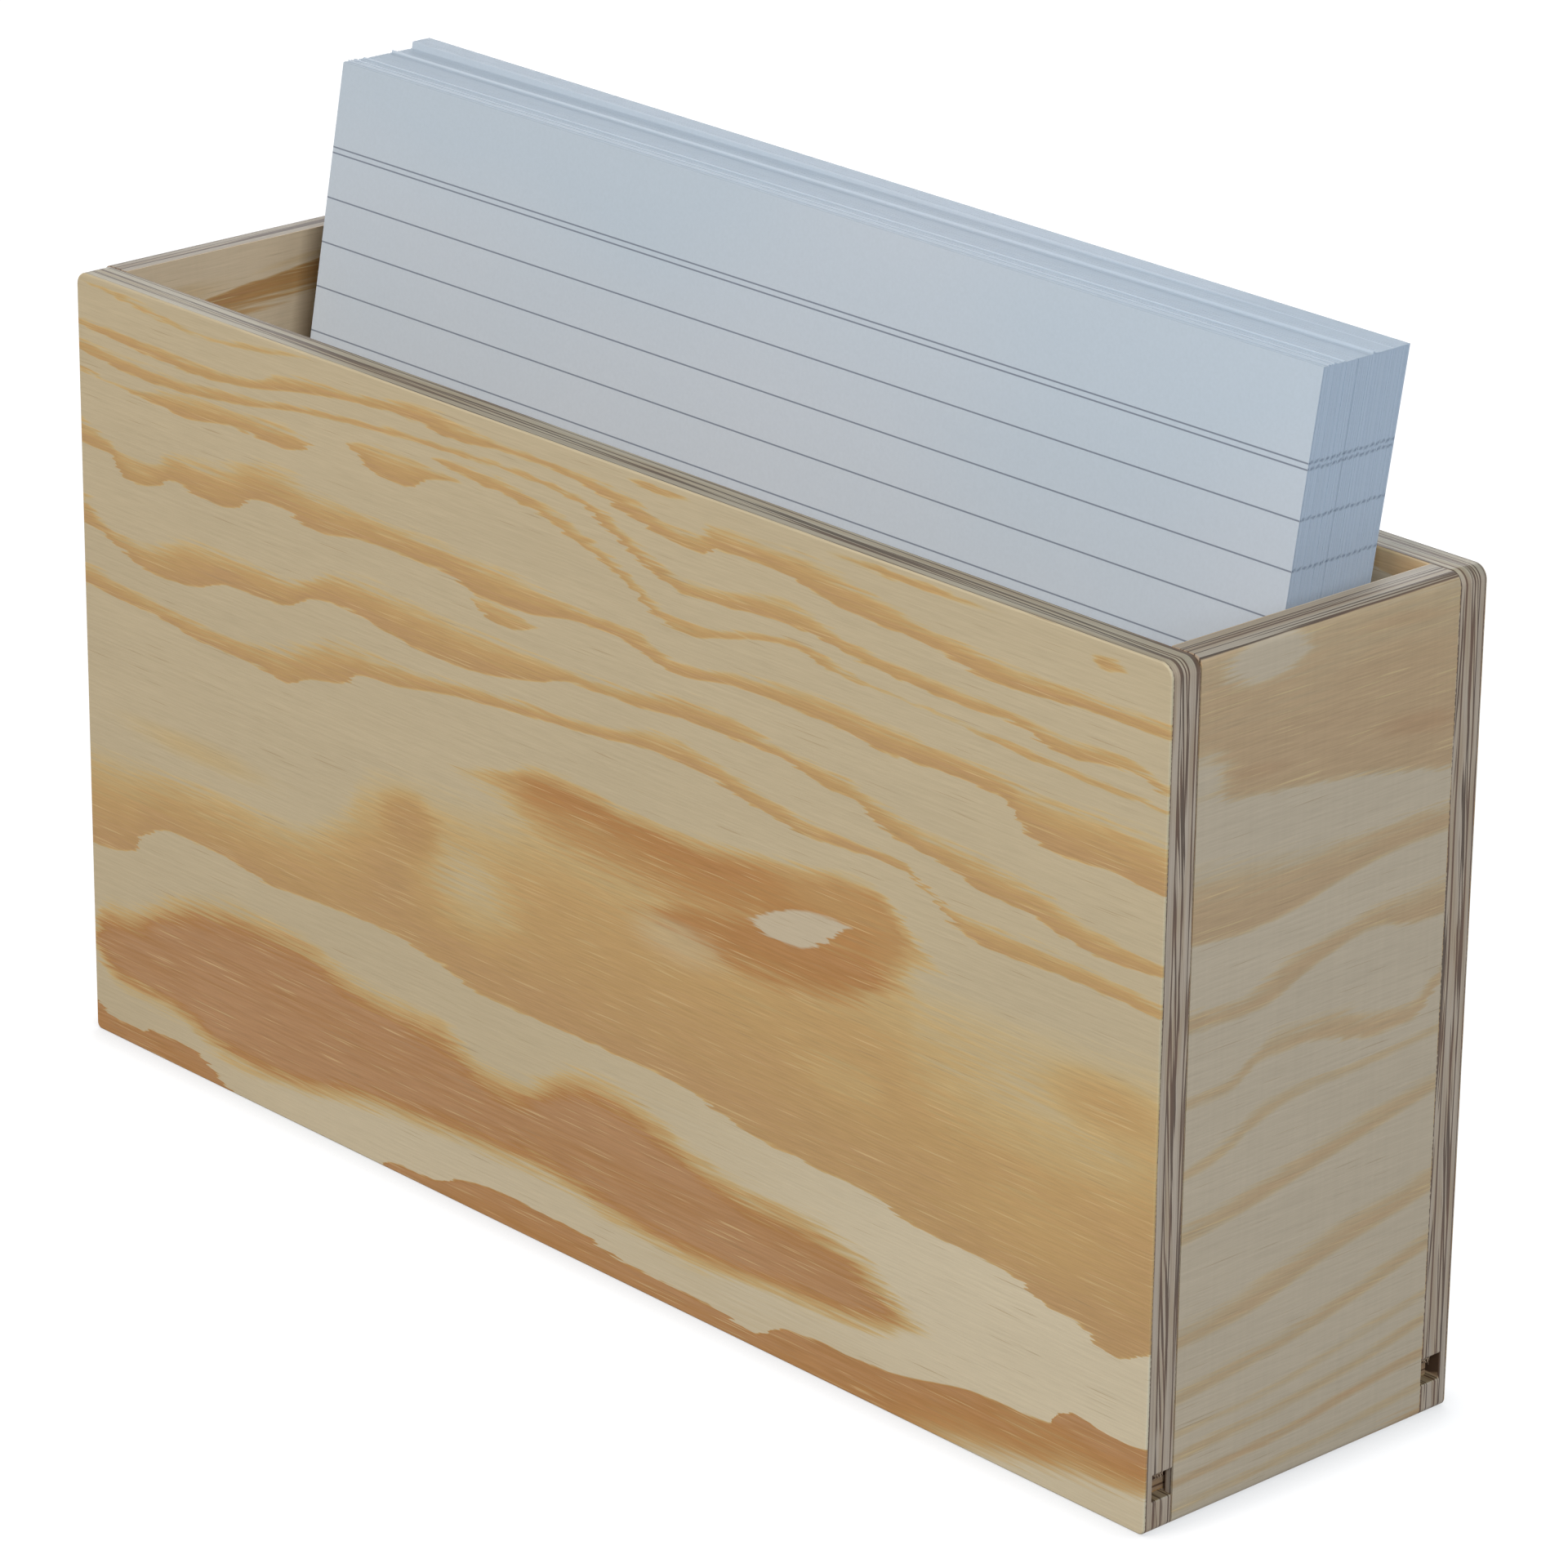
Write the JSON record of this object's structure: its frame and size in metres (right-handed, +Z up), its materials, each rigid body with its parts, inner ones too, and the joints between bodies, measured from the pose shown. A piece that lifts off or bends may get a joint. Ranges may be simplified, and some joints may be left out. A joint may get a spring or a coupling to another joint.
{
  "type": "index card box",
  "caption": "Open-topped rectangular plywood box holding a leaning pack of ruled index cards, with the bottom set in grooves of the walls.",
  "frame": {"origin": "middle of the footprint, on the surface that the box stands on", "axes": "+X to the right along the front panel, +Y from the front to the back, +Z up"},
  "size_m": [0.238, 0.062, 0.1575],
  "materials": {
    "pine_plywood": "sanded pine plywood, uncoated",
    "card_stock": "smooth uncoated white card with grey rules"
  },
  "bodies": {
    "box": {"front_panel": "pine_plywood", "back_panel": "pine_plywood", "left_end_panel": "pine_plywood", "right_end_panel": "pine_plywood", "bottom_panel": "pine_plywood"},
    "leafed_cards": {"card_bundle_01": "card_stock", "card_bundle_02": "card_stock", "card_bundle_03": "card_stock", "card_bundle_04": "card_stock", "card_bundle_05": "card_stock", "card_bundle_06": "card_stock", "card_bundle_07": "card_stock", "card_bundle_08": "card_stock"},
    "front_card": {"front_card": "card_stock"},
    "standing_cards": {"card_bundle_09": "card_stock", "card_bundle_10": "card_stock", "card_bundle_11": "card_stock", "card_bundle_12": "card_stock", "card_bundle_13": "card_stock", "card_bundle_14": "card_stock", "card_bundle_15": "card_stock", "card_bundle_16": "card_stock", "card_bundle_17": "card_stock", "card_bundle_18": "card_stock", "card_bundle_19": "card_stock", "card_bundle_20": "card_stock"}
  },
  "joints": [
    {"name": "leafed_cards_tip", "type": "hinge", "parent": "box", "child": "leafed_cards", "pos_m": [0, -0.01243, 0.01047], "axis": [1, 0, 0], "range_deg": [0, 15.8]},
    {"name": "front_card_pull", "type": "slide", "parent": "leafed_cards", "child": "front_card", "axis": [0, 0.1685, 0.9857], "range_m": [0, 0.15]},
    {"name": "standing_cards_lift", "type": "slide", "parent": "box", "child": "standing_cards", "axis": [0, 0.1685, 0.9857], "range_m": [0, 0.15]}
  ]
}
